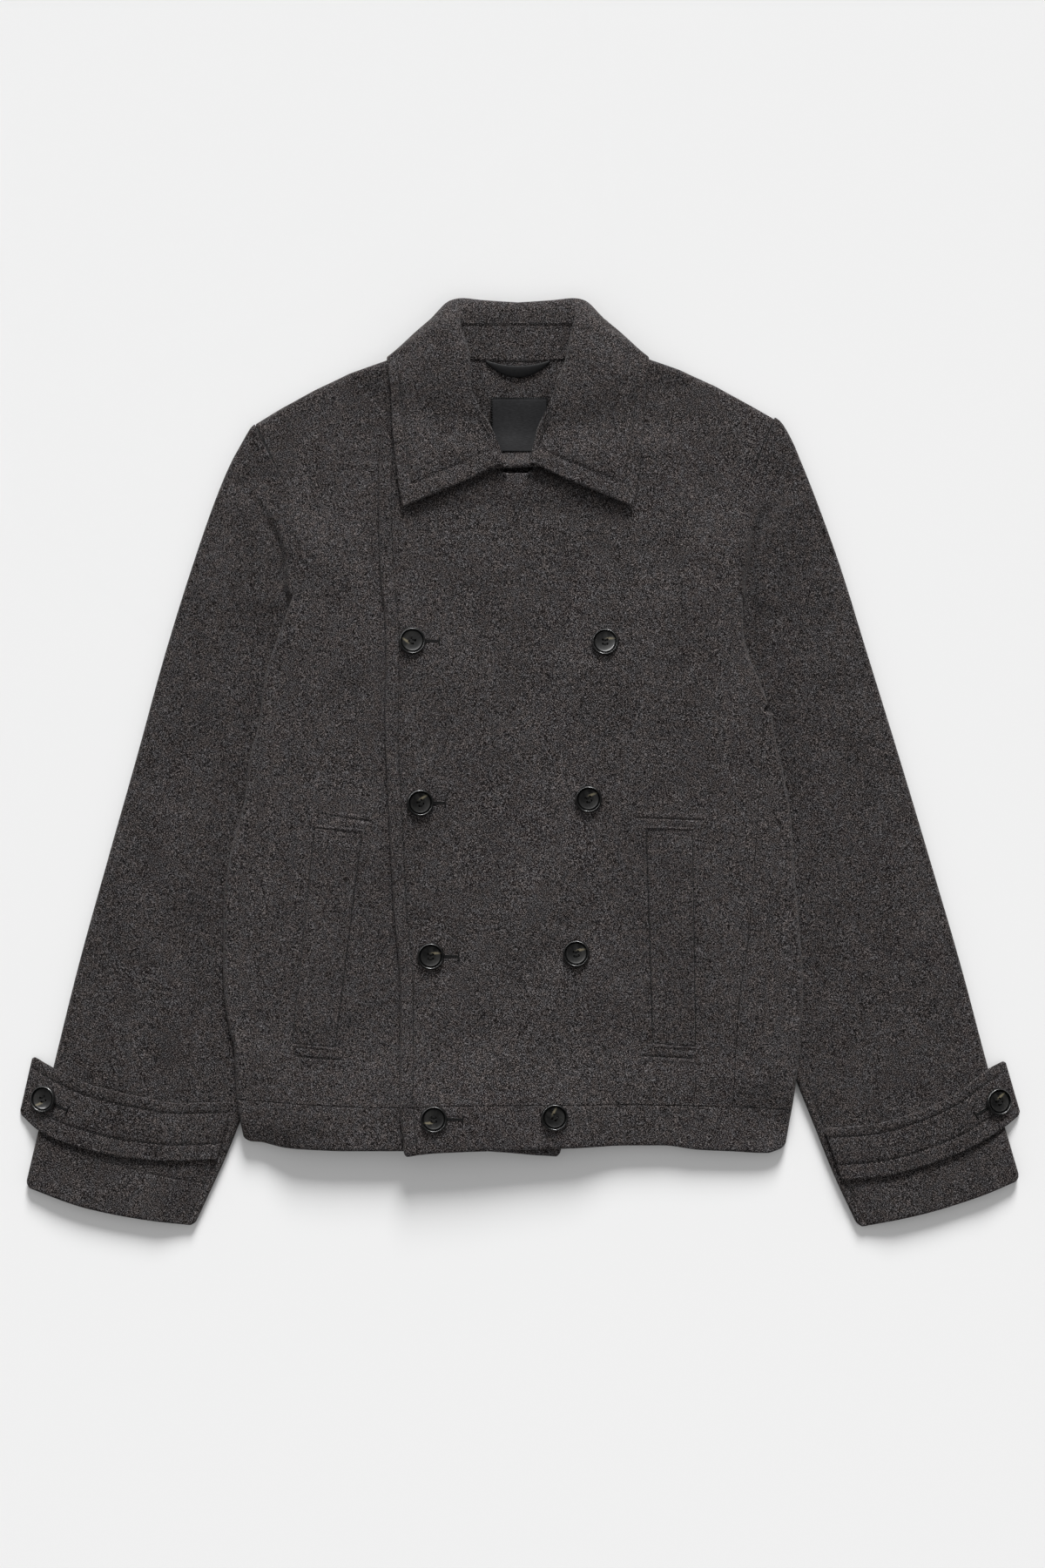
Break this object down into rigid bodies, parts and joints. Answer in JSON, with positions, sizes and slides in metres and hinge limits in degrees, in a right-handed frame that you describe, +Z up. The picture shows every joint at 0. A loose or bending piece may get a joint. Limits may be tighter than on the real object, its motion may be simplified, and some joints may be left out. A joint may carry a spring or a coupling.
{
  "type": "double-breasted coat",
  "caption": "Short wool coat laid flat and buttoned: wide overlap, turned-down collar, set-in sleeves with cuff straps, slanted welt pockets, separate hem band.",
  "frame": {"origin": "middle of the coat's outline as it lies, on the surface that it lies on", "axes": "+X to the wearer's left, along the widest extent; +Y from hem to collar; +Z up from the surface, out of the coat's front"},
  "size_m": [0.8518, 0.7894, 0.0246],
  "materials": {
    "wool": "thick charcoal melange wool, slightly napped",
    "satin": "black satin weave",
    "horn": "dark horn-like resin, polished"
  },
  "bodies": {
    "root": {"back": "wool", "front_over": "wool", "front_under": "wool", "hem_band_back": "wool", "hem_band_over": "wool", "hem_band_under": "wool", "sleeve_left": "wool", "sleeve_right": "wool", "cuff_strap_left": "wool", "cuff_strap_right": "wool", "collar_fall": "wool", "collar_stand": "wool", "back_neck_facing": "wool", "pocket_welt_left": "wool", "pocket_welt_right": "wool", "hanger_loop": "satin", "neck_label": "satin", "button_1_sewn": "horn", "button_2_sewn": "horn", "button_3_sewn": "horn", "button_4_sewn": "horn", "button_1_through": "horn", "button_2_through": "horn", "button_3_through": "horn", "button_4_through": "horn", "button_cuff_left": "horn", "button_cuff_right": "horn"}
  },
  "joints": []
}
